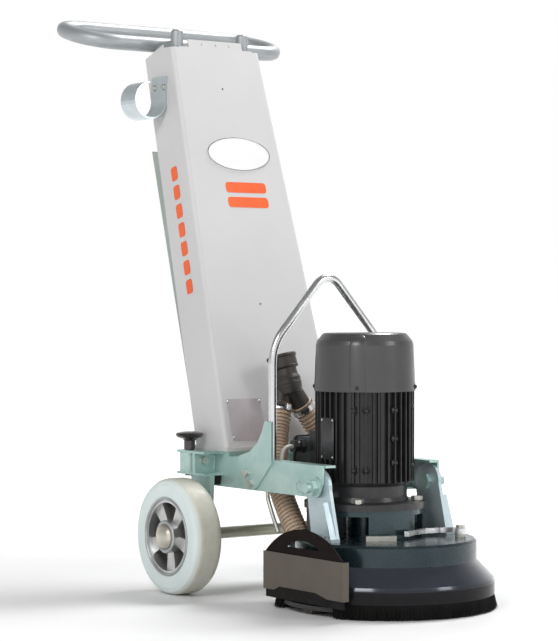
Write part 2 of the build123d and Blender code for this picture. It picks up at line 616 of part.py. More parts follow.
bearings.append(rod_z(24, 0, 0, 341, 353) - rod_z(SHAFT_R + 0.05, 0, 0, 300, 400))
bearings.append(rod_z(26, 0, 0, 174, 188) - rod_z(SHAFT_R + 0.05, 0, 0, 100, 300))
save("head_bearings", bearings)
fan = rod_z(22, 0, 0, 364, 384) - rod_z(SHAFT_R, 0, 0, 360, 390)
fan += rod_z(66, 0, 0, 362, 366) - rod_z(21, 0, 0, 350, 380)
for i in range(9):
    blade = slab_xy([(20, -1.5), (66, -1.5), (66, 1.5), (20, 1.5)], 366, 392)
    fan += Rot(0, 0, 40 * i) * blade
fan -= rod_z(SHAFT_R, 0, 0, 350, 400)
save("cooling_fan", fan)
cover = turned([(83.2, FIN_TOP), (85, FIN_TOP), (82, 432), (80, 439), (71, 450), (68, FAN_TOP), (0, FAN_TOP),
                (0, FAN_TOP - 2), (67, FAN_TOP - 2), (78.5, 438), (80.2, 431)])
for r, count in ((16, 6), (30, 12), (44, 18), (58, 24)):
    slot = Pos(r, 0, FAN_TOP - 1) * Box(9, 3.4, 10)
    cover -= [Rot(0, 0, 360 * i / count) * slot for i in range(count)]
lugs = [Rot(0, 0, a) * block(76.5, 83.5, -6, 6, FIN_TOP, FIN_TOP + 8) for a in (-44, 46, 136, 226)]
for lug in lugs:
    cover += lug
save("fan_cover", cover)
terminal = fillet(block(-132, -88, -48, 48, 204, 273).edges().filter_by(Axis.X), 8)
terminal -= block(-128, -88, -44, 44, 208, 269)
terminal += block(-128, -122, -30, 30, 222, 264)
for y in (-20, 0, 20):
    for z in (234, 252):
        terminal += rod_x(2.5, y, z, -122, -108)
terminal -= rod_y(9.0, -110, 258, -60, -40)
terminal_lid = fillet(block(-137, -132, -50, 50, 202, 275).edges().filter_by(Axis.X), 9)
save("terminal_box", terminal, terminal_lid)
gland = rod_y(9, -110, 258, -62, -44) + hex_y(22, -110, 258, -56, -48) + hex_y(20, -110, 258, -70, -62)
gland -= rod_y(4, -110, 258, -80, -40)
save("cable_gland", gland)
cable_points = [(-110, -70, 258), (-110, -82, 258), (-106, -93, 251), (-102, -98.5, 239), (-100.5, -99, 223)]
cable_path, cable_radii = route(cable_points)
cable = tube(cable_path, 4.0)
save("motor_cable", cable)

# ======================= dust extraction =======================
BRANCH = Vector(-208, -7, 356)          # where the two legs part
BRANCH_LEAN, BRANCH_ROLL = -16.0, -7.0  # degrees, rearwards and to the right


def on_branch(shape):
    """Place a piece of the branch fitting, drawn along +Z from the parting point."""
    return Pos(BRANCH) * Rot(-BRANCH_ROLL, 0, 0) * Rot(0, BRANCH_LEAN, 0) * shape


COLLAR_LOW, COLLAR_HIGH, COLLAR_BORE = 34.0, 56.0, 19.2
wye = on_branch(turned([(0, -14), (20, -14), (23, -2), (23, 14), (21, 18), (20.5, 30), (25, COLLAR_LOW - 2),
                        (25, COLLAR_HIGH - 6), (26, COLLAR_HIGH - 5), (26, COLLAR_HIGH), (0, COLLAR_HIGH)]))
legs = [spigot(points, 17.0, (Vector(*points[0]) - BRANCH).length) for points in (right_route, left_route)]
for leg in legs:
    wye += leg
wye -= on_branch(rod_z(COLLAR_BORE, 0, 0, COLLAR_LOW, COLLAR_HIGH + 10) + rod_z(15, 0, 0, 0, COLLAR_HIGH))
for points in (right_route, left_route):
    wye -= spigot(points, 13.0, (Vector(*points[0]) - BRANCH).length - 4, 5)
save("y_connector", wye)

HOSE_R, HOSE_BORE = 20.0, 16.5
for side, points in (("right", right_route), ("left", left_route)):
    path, radii = route(points)
    hose = tube(path, HOSE_R, HOSE_BORE)
    save("dust_hose_" + side, hose)
    print("dust hose", side, "length", round(path.length), "volume", round(hose.volume),
          "section x length", round(math.pi * (HOSE_R ** 2 - HOSE_BORE ** 2) * path.length),
          "radii", [round(r) for r in radii])
print("motor_cable", "length", round(cable_path.length), "volume", round(cable.volume),
      "section x length", round(math.pi * 16 * cable_path.length), "radii", [round(r) for r in cable_radii])


def hose_clamp(points):
    return spigot(points, 21.8, -4, 14) - spigot(points, 20.05, 5, 30)


save("hose_clamps", [hose_clamp(points) for points in (right_route, left_route)])

# ======================= edge cover =======================
plate = block(COVER_X0, COVER_X1, -COVER_Y, -COVER_Y + 2.5, 31, 93)
cut = slab_xz([(-28, 28), (-6, 38), (94, 38), (137, 28)], -180, -165)
plate -= cut
plate += block(COVER_X0, COVER_X0 + 2.5, -COVER_Y, -COVER_Y + COVER_FLANGE, 31, 93)
plate += block(COVER_X1 - 2.5, COVER_X1, -COVER_Y, -COVER_Y + COVER_FLANGE, 31, 93)
save("edge_plate", plate)
chord, rise = 107.0, 44.0
dome_r = (chord ** 2 + rise ** 2) / (2 * rise)
dome = rod_y(dome_r, HEAD_X + 1, 92 + rise - dome_r, -COVER_Y + 2.5, -COVER_Y + 4.5)
dome &= block(COVER_X0 + 2.5, COVER_X1 - 2.5, -180, -150, 44, 150)
SLOT_HALF, SLOT_LOW, SLOT_RISE = 45.0, 105.0, 13.0
slot_r = (SLOT_HALF ** 2 + SLOT_RISE ** 2) / (2 * SLOT_RISE)
grip = rod_y(slot_r, HEAD_X, SLOT_LOW + SLOT_RISE - slot_r, -190, -150)
grip &= block(-50, 170, -190, -150, SLOT_LOW, 150)
dome -= grip
save("edge_sheet", dome)
strip_rubber = block(COVER_X0 + 4, COVER_X1 - 4, -COVER_Y + 2.5, -COVER_Y + 7, 18, 44)
save("edge_rubber", strip_rubber)

# ======================= lever on the deck =======================
LEVER = (130.0, 100.0)
post = rod_z(9, *LEVER, DRUM_LOW, 119.5) + rod_z(4.95, *LEVER, 119.5, 129.3) + hex_z(13, *LEVER, 129.3, 134)
catch = Pos(101, -44, 0) * Rot(0, 0, 57) * block(-25, 25, -6, 7, DRUM_LOW, DRUM_LOW + 8)
save("head_fasteners", head_fasteners, post, catch)
lever = rod_z(10, *LEVER, 119.7, 129)
lever += slab_xy([(134, 106), (114, 118), (100, 112), (92, 88), (88, 54), (98, 18), (112, -4), (118, 1),
                  (106, 22), (96, 54), (100, 82), (107, 103), (114, 108), (124, 98)], 119.7, 128)
lever -= rod_z(5.0, *LEVER, 100, 140)
save("deck_lever", lever)
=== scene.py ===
import math
import random

import bpy
import numpy as np
from mathutils import Matrix, Vector


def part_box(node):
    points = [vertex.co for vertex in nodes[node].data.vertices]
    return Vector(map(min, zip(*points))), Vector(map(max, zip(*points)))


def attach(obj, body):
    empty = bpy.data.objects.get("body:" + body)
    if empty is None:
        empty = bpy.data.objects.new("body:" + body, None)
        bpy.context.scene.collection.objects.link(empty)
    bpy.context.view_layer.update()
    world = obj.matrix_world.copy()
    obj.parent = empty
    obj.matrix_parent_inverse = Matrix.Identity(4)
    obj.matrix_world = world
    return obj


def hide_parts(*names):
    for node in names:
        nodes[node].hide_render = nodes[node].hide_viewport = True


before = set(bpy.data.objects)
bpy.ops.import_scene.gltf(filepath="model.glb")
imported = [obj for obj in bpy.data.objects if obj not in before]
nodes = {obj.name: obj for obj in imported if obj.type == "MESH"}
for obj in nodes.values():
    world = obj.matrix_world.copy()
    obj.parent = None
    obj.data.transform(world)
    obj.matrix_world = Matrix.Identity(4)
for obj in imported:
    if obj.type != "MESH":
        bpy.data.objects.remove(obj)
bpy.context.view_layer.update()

random.seed(7)

# ---- places worked out from the frame ----
fan_low, fan_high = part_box("fan_cover")
MOTOR = Vector(((fan_low.x + fan_high.x) / 2, 0.0, 0.0))      # motor axis
FIN_TOP = fan_low.z
disc_low, disc_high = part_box("grinding_disc")
HEAD = Vector(((disc_low.x + disc_high.x) / 2, 0.0, 0.0))     # grinding axis
COLUMN_LEAN = 0.3058                                          # run backwards per unit of height
COLUMN_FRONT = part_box("column_housing")[1].x - 0.005          # its foot plate stands 5 mm ahead of it
COLUMN_BASE = 0.251
COLUMN_DEPTH = 0.094
COLUMN_HALF = 0.1255                                          # half width at the base
COLUMN_NARROWS, COLUMN_RISE = 0.029, 0.717                    # loss of half width over the rise
SIDE_SLOPE = 0.0404                                           # run inwards per unit of height
LEAN = math.atan(COLUMN_LEAN)

# ======================= camera, floor, light =======================
CAMERA_AT = Vector((3.1478, -2.2557, 0.5058))
CAMERA_TOWARDS = Vector((-0.815, 0.579, -0.0090))
LENS, SENSOR = 123.56, 36.0
ACROSS_VIEW = (0.579, 0.815, 0.0)
FLOOR_GLOW = 0.68             # keeps the far floor as white as the studio behind it
FLOOR_HALF = 300.0


def make_camera():
    data = bpy.data.cameras.new("camera")
    data.lens = LENS
    data.sensor_width = SENSOR
    data.clip_end = 1000
    camera = bpy.data.objects.new("camera", data)
    camera.location = CAMERA_AT
    camera.rotation_mode = "QUATERNION"
    camera.rotation_quaternion = CAMERA_TOWARDS.to_track_quat("-Z", "Y")
    bpy.context.scene.collection.objects.link(camera)
    bpy.context.scene.camera = camera


def area_light(name, at, target, size, power):
    data = bpy.data.lights.new(name, "AREA")
    data.shape = "RECTANGLE"
    data.size, data.size_y = size
    data.energy = power
    light = bpy.data.objects.new(name, data)
    light.location = at
    light.rotation_mode = "QUATERNION"
    light.rotation_quaternion = (Vector(target) - Vector(at)).to_track_quat("-Z", "Y")
    bpy.context.scene.collection.objects.link(light)


def make_world():
    """White studio, darker overhead and to both sides, which gives metal its contrast."""
    world = bpy.data.worlds.new("studio")
    bpy.context.scene.world = world
    world.use_nodes = True
    tree = world.node_tree
    tree.nodes.clear()
    coords = tree.nodes.new("ShaderNodeTexCoord")
    side = tree.nodes.new("ShaderNodeVectorMath")
    side.operation = "DOT_PRODUCT"
    side.inputs[1].default_value = ACROSS_VIEW
    size = tree.nodes.new("ShaderNodeMath")
    size.operation = "ABSOLUTE"
    ramp = tree.nodes.new("ShaderNodeValToRGB")
    ramp.color_ramp.elements[0].position = 0.45
    ramp.color_ramp.elements[0].color = (1, 1, 1, 1)
    ramp.color_ramp.elements[1].position = 0.9
    ramp.color_ramp.elements[1].color = (0.55, 0.55, 0.56, 1)
    split = tree.nodes.new("ShaderNodeSeparateXYZ")
    ceiling = tree.nodes.new("ShaderNodeMapRange")
    for key, number in (("From Min", 0.25), ("From Max", 0.7), ("To Min", 1.0), ("To Max", 0.25)):
        ceiling.inputs[key].default_value = number
    background = tree.nodes.new("ShaderNodeBackground")
    output = tree.nodes.new("ShaderNodeOutputWorld")
    tree.links.new(coords.outputs["Generated"], side.inputs[0])
    tree.links.new(side.outputs["Value"], size.inputs[0])
    tree.links.new(size.outputs[0], ramp.inputs[0])
    tree.links.new(ramp.outputs[0], background.inputs["Color"])
    tree.links.new(coords.outputs["Generated"], split.inputs[0])
    tree.links.new(split.outputs["Z"], ceiling.inputs["Value"])
    tree.links.new(ceiling.outputs["Result"], background.inputs["Strength"])
    tree.links.new(background.outputs[0], output.inputs["Surface"])


# ======================= materials =======================
class Shader:
    """A principled material under construction, in the object's own metres."""

    def __init__(self, name, rough=0.5, metal=0.0, coat=0.0, coat_rough=0.1, specular=0.5):
        self.material = bpy.data.materials.new(name)
        self.material.use_nodes = True
        self.tree = self.material.node_tree
        self.shader = self.tree.nodes["Principled BSDF"]
        self.shader.inputs["Roughness"].default_value = rough
        self.shader.inputs["Metallic"].default_value = metal
        self.shader.inputs["Coat Weight"].default_value = coat
        self.shader.inputs["Coat Roughness"].default_value = coat_rough
        self.shader.inputs["Specular IOR Level"].default_value = specular
        self.coords = self.tree.nodes.new("ShaderNodeTexCoord").outputs["Object"]

    def link(self, source, target):
        self.tree.links.new(source, target)

    def place(self, stretch):
        mapping = self.tree.nodes.new("ShaderNodeMapping")
        mapping.inputs["Scale"].default_value = stretch
        self.link(self.coords, mapping.inputs["Vector"])
        return mapping.outputs["Vector"]

    def noise(self, scale, detail=4.0, rough=0.55, stretch=(1, 1, 1), distortion=0.0):
        node = self.tree.nodes.new("ShaderNodeTexNoise")
        node.inputs["Scale"].default_value = scale
        node.inputs["Detail"].default_value = detail
        node.inputs["Roughness"].default_value = rough
        node.inputs["Distortion"].default_value = distortion
        self.link(self.place(stretch), node.inputs["Vector"])
        return node.outputs["Fac"]

    def cells(self, scale):
        node = self.tree.nodes.new("ShaderNodeTexVoronoi")
        node.inputs["Scale"].default_value = scale
        self.link(self.coords, node.inputs["Vector"])
        return node.outputs["Distance"]

    def axis(self, name):
        split = self.tree.nodes.new("ShaderNodeSeparateXYZ")
        self.link(self.coords, split.inputs[0])
        return split.outputs[name]

    def arithmetic(self, operation, first, second=None):
        node = self.tree.nodes.new("ShaderNodeMath")
        node.operation = operation
        self.link(first, node.inputs[0])
        if isinstance(second, float):
            node.inputs[1].default_value = second
        elif second is not None:
            self.link(second, node.inputs[1])
        return node.outputs[0]

    def spread(self, value, low, high, out_low=0.0, out_high=1.0):
        node = self.tree.nodes.new("ShaderNodeMapRange")
        self.link(value, node.inputs["Value"])
        for key, number in (("From Min", low), ("From Max", high), ("To Min", out_low),
                            ("To Max", out_high)):
            node.inputs[key].default_value = number
        return node.outputs["Result"]

    def mix(self, factor, first, second):
        node = self.tree.nodes.new("ShaderNodeMix")
        node.data_type = "RGBA"
        self.link(factor, node.inputs["Factor"])
        for socket, value in ((node.inputs[6], first), (node.inputs[7], second)):
            if isinstance(value, tuple):
                socket.default_value = (*value, 1.0)
            else:
                self.link(value, socket)
        return node.outputs[2]

    def colour(self, source):
        self.link(source, self.shader.inputs["Base Color"])

    def roughness(self, value, low, high, out_low, out_high):
        self.link(self.spread(value, low, high, out_low, out_high), self.shader.inputs["Roughness"])

    def bump(self, height, strength, distance):
        node = self.tree.nodes.new("ShaderNodeBump")
        node.inputs["Strength"].default_value = strength
        node.inputs["Distance"].default_value = distance
        self.link(height, node.inputs["Height"])
        previous = self.shader.inputs["Normal"].links
        if previous:
            self.link(previous[0].from_socket, node.inputs["Normal"])
        self.link(node.outputs["Normal"], self.shader.inputs["Normal"])


def painted(name, first, second, rough=(0.35, 0.5), metal=0.0, coat=0.0, blotch=9.0, grain=700.0, peel=0.15,
            dust=None, dust_top=0.12, specular=0.5):
    """Paint or powder coat: slow colour drift, fine orange peel, patchy gloss and dust low down."""
    s = Shader(name, rough[0], metal, coat, specular=specular)
    drift = s.noise(blotch, 5.0, 0.6)
    tone = s.mix(s.spread(drift, 0.35, 0.68), first, second)
    if dust:
        low = s.spread(s.axis("Z"), 0.0, dust_top, 0.55, 0.0)
        speck = s.spread(s.noise(40.0, 6.0, 0.7), 0.4, 0.7)
        tone = s.mix(s.arithmetic("MULTIPLY", low, speck), tone, dust)
    s.colour(tone)
    s.roughness(s.noise(blotch * 6, 4.0, 0.65), 0.3, 0.7, *rough)
    s.bump(s.noise(grain, 2.0, 0.5), peel, 0.0003)
    return s.material


def metal(name, first, second, rough=(0.25, 0.45), stretch=(1, 1, 1), blotch=14.0, scratch=0.12, level=1.0,
          bump=0.12):
    """Plated, cast or brushed metal: mottled tone, fine drawn lines and small handling marks."""
    s = Shader(name, rough[0], level)
    mottle = s.noise(blotch, 6.0, 0.62, distortion=0.4)
    tone = s.mix(s.spread(mottle, 0.32, 0.7), first, second)
    marks = s.spread(s.noise(90.0, 5.0, 0.75, stretch), 0.55, 0.78)
    dark = tuple(channel * 0.72 for channel in first)
    s.colour(s.mix(s.arithmetic("MULTIPLY", marks, scratch * 4), tone, dark))
    s.roughness(s.noise(55.0, 5.0, 0.7, stretch), 0.3, 0.72, *rough)
    s.bump(s.noise(420.0, 3.0, 0.6, stretch), bump, 0.0002)
    return s.material


def plastic(name, first, second, rough=(0.4, 0.55), grain=900.0, peel=0.25, coat=0.0, specular=0.5):
    s = Shader(name, rough[0], 0.0, coat, specular=specular)
    s.colour(s.mix(s.spread(s.noise(22.0, 4.0), 0.35, 0.7), first, second))
    s.roughness(s.noise(120.0, 4.0, 0.6), 0.3, 0.7, *rough)
    s.bump(s.cells(grain), peel, 0.0002)
    return s.material


# where a finish or the rim's painted recess shade changes, as distances in metres from the centre plane or
# the floor
RIM_RECESS_SHADE = (0.206, 0.217)
TYRE_SHOULDER = (0.215, 0.225)
SHROUD_SHOULDER = (0.043, 0.049)
BADGE_ABOVE = 0.5


def wheel_metal():
    """Die-cast rim: bright ribs and edges, with painted shade darkening the recessed floors between them to
    grey.
    """
    s = Shader("rim_cast", 0.35, 0.9)
    outward = s.arithmetic("ABSOLUTE", s.axis("Y"))
    # painted shade: the recessed floors between the ribs get a darker grey than the ribs, chosen by depth
    # from the centre plane
    recess_shade = s.spread(outward, *RIM_RECESS_SHADE)
    floor = s.mix(s.noise(60.0, 5.0), (0.22, 0.22, 0.21), (0.36, 0.36, 0.35))
    rib = s.mix(s.noise(35.0, 5.0), (0.60, 0.61, 0.60), (0.76, 0.77, 0.76))
    s.colour(s.mix(recess_shade, floor, rib))
    s.roughness(s.noise(80.0, 5.0, 0.6), 0.3, 0.7, 0.28, 0.5)
    s.bump(s.noise(600.0, 3.0, 0.6), 0.2, 0.0004)
    return s.material


def tyre_rubber():
    """Pale non-marking solid tyre, darker and more yellow on its tread than on its walls."""
    s = Shader("tyre_pale", 0.5, 0.0)
    outward = s.arithmetic("ABSOLUTE", s.axis("Y"))
    side = s.spread(outward, *TYRE_SHOULDER)
    tread = s.mix(s.spread(s.noise(26.0, 6.0, 0.7), 0.35, 0.7), (0.52, 0.51, 0.43), (0.62, 0.61, 0.53))
    wall = s.mix(s.spread(s.noise(18.0, 5.0, 0.6), 0.35, 0.7), (0.70, 0.79, 0.78), (0.76, 0.84, 0.83))
    s.colour(s.mix(side, tread, wall))
    s.roughness(s.noise(70.0, 5.0, 0.6), 0.3, 0.7, 0.42, 0.62)
    s.bump(s.noise(500.0, 4.0, 0.6), 0.2, 0.0004)
    return s.material


def shroud_paint():
    """Dark blue gloss over the sloping top, near black on the upright skirt below its shoulder."""
    s = Shader("shroud_blue", 0.22, 0.35, 0.5, 0.12, 0.12)
    top = s.mix(s.spread(s.noise(8.0, 5.0, 0.6), 0.35, 0.68), (0.032, 0.036, 0.052), (0.050, 0.055, 0.074))
    skirt = s.mix(s.noise(30.0, 4.0), (0.008, 0.008, 0.009), (0.016, 0.016, 0.018))
    height = s.axis("Z")
    s.colour(s.mix(s.spread(height, *SHROUD_SHOULDER), skirt, top))
    s.link(s.spread(height, *SHROUD_SHOULDER, 0.0, 0.45), s.shader.inputs["Metallic"])
    s.link(s.spread(height, *SHROUD_SHOULDER, 0.0, 0.8), s.shader.inputs["Coat Weight"])
    s.roughness(s.noise(48.0, 4.0, 0.65), 0.3, 0.7, 0.16, 0.26)
    s.bump(s.noise(600.0, 2.0, 0.5), 0.06, 0.0003)
    return s.material


def floor_paint():
    """Pale studio floor that glows more with distance, so that it meets the white background unseen."""
    s = Shader("floor_pale", 0.55, 0.0)
    s.colour(s.mix(s.noise(1.5, 5.0, 0.6), (0.86, 0.86, 0.86), (0.83, 0.83, 0.83)))
    s.roughness(s.noise(9.0, 4.0, 0.65), 0.3, 0.7, 0.5, 0.6)
    distance = s.tree.nodes.new("ShaderNodeVectorMath")
    distance.operation = "LENGTH"
    s.link(s.coords, distance.inputs[0])
    s.shader.inputs["Emission Color"].default_value = (1.0, 1.0, 1.0, 1.0)
    s.link(s.spread(distance.outputs["Value"], 0.5, 3.0, 0.0, FLOOR_GLOW),
           s.shader.inputs["Emission Strength"])
    return s.material


def make_materials():
    m = {}
    m["zinc"] = metal("zinc_green", (0.36, 0.54, 0.51), (0.54, 0.68, 0.64), (0.36, 0.52), (1, 1, 0.25),
                      11.0, level=0.5)
    m["zinc_blue"] = metal("zinc_blue", (0.48, 0.60, 0.64), (0.62, 0.69, 0.71), (0.3, 0.48), (1, 1, 0.2),
                           9.0, level=0.55)
    m["bright"] = metal("bright_steel", (0.62, 0.63, 0.64), (0.76, 0.77, 0.78), (0.18, 0.32), (1, 1, 0.15),
                        16.0)
    m["hook"] = metal("hook_zinc", (0.50, 0.57, 0.60), (0.64, 0.69, 0.71), (0.25, 0.42), (1, 1, 0.2), 12.0,
                      level=0.8)
    m["bolt"] = metal("bolt_plated", (0.48, 0.49, 0.45), (0.62, 0.61, 0.55), (0.28, 0.45), blotch=40.0,
                      level=0.85)
    m["axle"] = metal("axle_zinc", (0.48, 0.48, 0.38), (0.62, 0.60, 0.50), (0.3, 0.46), (1, 0.1, 1),
                      level=0.85)
    m["cap"] = metal("cap_brushed", (0.60, 0.56, 0.48), (0.72, 0.68, 0.60), (0.26, 0.4), (1, 1, 0.2), 50.0,
                     level=0.95)
    m["handle"] = painted("handle_silver", (0.33, 0.35, 0.36), (0.40, 0.42, 0.43), (0.42, 0.52), 0.5, 0.12,
                          5.0, 800.0, 0.05)
    m["column"] = painted("column_powder", (0.60, 0.595, 0.595), (0.57, 0.56, 0.56), (0.38, 0.5), 0.0,
                          0.08, 4.0, 900.0, 0.22, (0.56, 0.54, 0.51), 0.33)
    m["door"] = painted("door_powder", (0.30, 0.34, 0.31), (0.36, 0.40, 0.37), (0.42, 0.55), 0.1,
                        grain=900.0, peel=0.3)
    m["panel"] = plastic("panel_black", (0.025, 0.025, 0.028), (0.04, 0.04, 0.043), (0.35, 0.5))
    m["inlet"] = plastic("inlet_blue", (0.02, 0.06, 0.25), (0.03, 0.08, 0.30), (0.35, 0.5))
    m["switch"] = plastic("switch_grey", (0.62, 0.62, 0.58), (0.70, 0.70, 0.66))
    m["green"] = plastic("button_green", (0.02, 0.28, 0.08), (0.03, 0.34, 0.10), (0.25, 0.35), coat=0.3)
    m["red"] = plastic("button_red", (0.50, 0.02, 0.015), (0.60, 0.03, 0.02), (0.25, 0.35), coat=0.3)
    m["yellow"] = plastic("collar_yellow", (0.75, 0.52, 0.03), (0.82, 0.58, 0.05), (0.35, 0.45))
    m["knob"] = plastic("knob_black", (0.012, 0.01, 0.01), (0.03, 0.018, 0.016), (0.12, 0.22), peel=0.03,
                        coat=0.6)
    m["rim"] = wheel_metal()
    m["tyre"] = tyre_rubber()
    m["rubber"] = plastic("rubber_black", (0.007, 0.006, 0.006), (0.014, 0.012, 0.011), (0.6, 0.75), 700.0,
                          specular=0.2)
    m["deck"] = painted("deck_teal", (0.014, 0.030, 0.036), (0.028, 0.046, 0.053), (0.2, 0.32), 0.55, 0.2,
                        12.0, 500.0, 0.1)
    m["shroud"] = shroud_paint()
    m["drum"] = painted("drum_teal", (0.020, 0.045, 0.052), (0.04, 0.07, 0.078), (0.22, 0.34), 0.5, 0.3,
                        10.0, peel=0.1)
    m["motor"] = painted("motor_black", (0.012, 0.012, 0.013), (0.022, 0.022, 0.023), (0.34, 0.5), 0.2,
                         0.1, 30.0, 300.0, 0.3)
    m["bell"] = painted("bell_black", (0.022, 0.022, 0.023), (0.04, 0.04, 0.041), (0.3, 0.44), 0.2, 0.15,
                        30.0, 300.0, 0.3)
    m["fan"] = painted("fan_cover_grey", (0.064, 0.064, 0.066), (0.080, 0.080, 0.082), (0.28, 0.38), 0.4,
                       0.15, 6.0, 800.0, 0.08)
    m["core"] = metal("core_iron", (0.25, 0.22, 0.2), (0.34, 0.30, 0.27), (0.5, 0.7), (1, 1, 8))
    m["blade"] = plastic("fan_blades", (0.03, 0.03, 0.03), (0.05, 0.05, 0.05))
    m["box"] = plastic("box_black", (0.022, 0.026, 0.028), (0.04, 0.045, 0.047), (0.35, 0.5))
    m["cable"] = plastic("cable_grey", (0.44, 0.42, 0.37), (0.52, 0.50, 0.45), (0.4, 0.55), 1500.0)
    m["wye"] = plastic("wye_rubber", (0.020, 0.017, 0.015), (0.045, 0.037, 0.032), (0.4, 0.58), 500.0, 0.3)
    m["web"] = plastic("hose_web", (0.46, 0.34, 0.24), (0.60, 0.47, 0.35), (0.4, 0.55), 900.0, 0.2)
    m["rib"] = plastic("hose_rib", (0.11, 0.055, 0.028), (0.20, 0.105, 0.052), (0.35, 0.5), 900.0, 0.2)
    m["disc"] = metal("disc_steel", (0.06, 0.06, 0.062), (0.10, 0.10, 0.102), (0.45, 0.6), level=0.7)
    # painted shade: the shafts, gears and bearings are coloured dark so that they read as the shaded inside
    # seen through the drum's windows
    m["dark_shaft"] = metal("shaft_painted_shade", (0.10, 0.10, 0.105), (0.16, 0.16, 0.165), (0.3, 0.45),
                            (1, 1, 0.1))
    m["motor_plate"] = metal("motor_plate", (0.05, 0.05, 0.052), (0.085, 0.085, 0.088), (0.4, 0.55),
                             blotch=30.0, level=0.5)
    m["rim_edge"] = metal("rim_edge", (0.40, 0.41, 0.41), (0.52, 0.53, 0.53), (0.34, 0.5), blotch=40.0,
                          level=0.7)
    m["gland_black"] = plastic("gland_black", (0.014, 0.014, 0.015), (0.03, 0.03, 0.031), (0.35, 0.5))
    m["diamond"] = metal("segment_sintered", (0.10, 0.09, 0.08), (0.18, 0.16, 0.14), (0.6, 0.85),
                         blotch=260.0, level=0.4, bump=0.6)
    m["taupe"] = painted("plate_taupe", (0.100, 0.085, 0.066), (0.125, 0.108, 0.086), (0.5, 0.62), 0.15,
                         0.0, 7.0, 700.0, 0.2)
    m["sheet"] = painted("sheet_black", (0.006, 0.0035, 0.003), (0.011, 0.007, 0.006), (0.38, 0.5), 0.0,
                         0.0, 9.0, peel=0.04, specular=0.06)
    m["plate"] = metal("rating_plate", (0.50, 0.46, 0.48), (0.60, 0.56, 0.58), (0.4, 0.55), (1, 4, 0.3),
                       20.0, level=0.35)
    m["badge"] = painted("badge_white", (0.86, 0.86, 0.86), (0.82, 0.82, 0.82), (0.18, 0.25), 0.0, 0.5,
                         peel=0.03)
    m["edging"] = painted("badge_edging", (0.10, 0.10, 0.105), (0.14, 0.14, 0.145), (0.3, 0.4))
    m["orange"] = painted("stripe_orange", (0.80, 0.10, 0.012), (0.86, 0.13, 0.02), (0.3, 0.4), 0.0, 0.2,
                          peel=0.05)
    m["bristle"] = plastic("bristle_black", (0.004, 0.004, 0.004), (0.012, 0.011, 0.010), (0.5, 0.7),
                           2500.0, specular=0.15)
    m["floor"] = floor_paint()
    return m


FINISH = {
    "side_arms": "zinc", "cross_members": "zinc", "gusset_plates": "zinc", "lifting_bail": "bright",
    "column_housing": "column", "rear_door": "door", "control_panel": "panel", "power_inlet": "inlet",
    "switchgear": "switch", "handle_loop": "handle", "handle_posts": "handle", "hose_hook": "hook",
    "wheel_carriers": "zinc", "chassis_fasteners": "bolt", "rubber_stops": "rubber", "axle": "axle",
    "pivot_pins": "zinc", "stop_rod": "bolt", "start_button": "green", "stop_button": "red",
    "emergency_stop": "red", "index_knob_right": "knob", "index_knob_left": "knob",
    "wheel_rim_right": "rim", "wheel_rim_left": "rim", "tyre_right": "tyre", "tyre_left": "tyre",
    "hub_fittings_right": "cap", "hub_fittings_left": "cap", "pivot_brackets": "zinc_blue",
    "gear_case": "deck", "gear_case_lid": "deck", "adaptor_drum": "drum", "shroud": "shroud",
    "brush_skirt": "bristle", "motor_housing": "motor", "motor_end_shields": "bell", "stator_core": "core",
    "head_bearings": "dark_shaft", "fan_cover": "fan", "terminal_box": "box", "cable_gland": "gland_black",
    "motor_cable": "cable", "y_connector": "wye", "dust_hose_right": "web", "dust_hose_left": "web",
    "hose_clamps": "bright", "head_fasteners": "bolt", "motor_rotor": "dark_shaft", "pinion": "dark_shaft",
    "cooling_fan": "blade", "spindle": "dark_shaft", "spindle_gear": "dark_shaft", "grinding_disc": "disc",
    "diamond_segments": "diamond", "edge_plate": "taupe", "edge_sheet": "sheet", "edge_rubber": "rubber",
    "deck_lever": "bright", "name_plates": "plate",
}


def finish_nodes(materials):
    for node, key in FINISH.items():
        mesh = nodes[node].data
        mesh.materials.clear()
        mesh.materials.append(materials[key])
    # the oval badge is the upper solid of the plates' node
    plates = nodes["name_plates"].data
    plates.materials.append(materials["badge"])
    for polygon in plates.polygons:
        polygon.material_index = 1 if polygon.center.z > BADGE_ABOVE else 0


# ======================= building pieces =======================
def new_piece(name, vertices, faces, body, slot, material, smooth=True, indices=None):
    mesh = bpy.data.meshes.new(name)
    mesh.from_pydata([tuple(v) for v in vertices], [], faces)
    for item in material if isinstance(material, (list, tuple)) else [material]:
        mesh.materials.append(item)
    if indices is not None:
        mesh.polygons.foreach_set("material_index", indices)
    mesh.polygons.foreach_set("use_smooth", [smooth] * len(mesh.polygons))
    mesh.update()
    piece = bpy.data.objects.new(name, mesh)
    bpy.context.scene.collection.objects.link(piece)
    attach(piece, body)
    return piece


def ring_mesh(profile, count, place=Matrix.Identity(4)):
    """Turn a closed (radius, height) profile about Z."""
    vertices = []
    for i in range(count):
        angle = 2 * math.pi * i / count
        for r, z in profile:
            vertices.append(place @ Vector((r * math.cos(angle), r * math.sin(angle), z)))
    n, faces = len(profile), []
    for i in range(count):
        for j in range(n):
            a, b = i * n + j, i * n + (j + 1) % n
            c, d = ((i + 1) % count) * n + (j + 1) % n, ((i + 1) % count) * n + j
            faces.append((a, d, c, b))
    return vertices, faces


def joined(parts):
    vertices, faces = [], []
    for more_vertices, more_faces in parts:
        start = len(vertices)
        vertices += list(more_vertices)
        faces += [tuple(i + start for i in face) for face in more_faces]
    return vertices, faces


def domed_screw(place, r, height, sides=20):
    """A domed screw head with a washer, standing along the place's +Z."""
    profile = [(0.0001, 0.0), (r * 1.45, 0.0), (r * 1.45, height * 0.25), (r, height * 0.3),
               (r * 0.95, height * 0.75), (r * 0.6, height), (0.0001, height)]
    return ring_mesh(profile, sides, place)


def hex_screw(place, r, height):
    profile = [(0.0001, 0.0), (r, 0.0), (r, height * 0.85), (r * 0.9, height), (0.0001, height)]
    return ring_mesh(profile, 6, place)


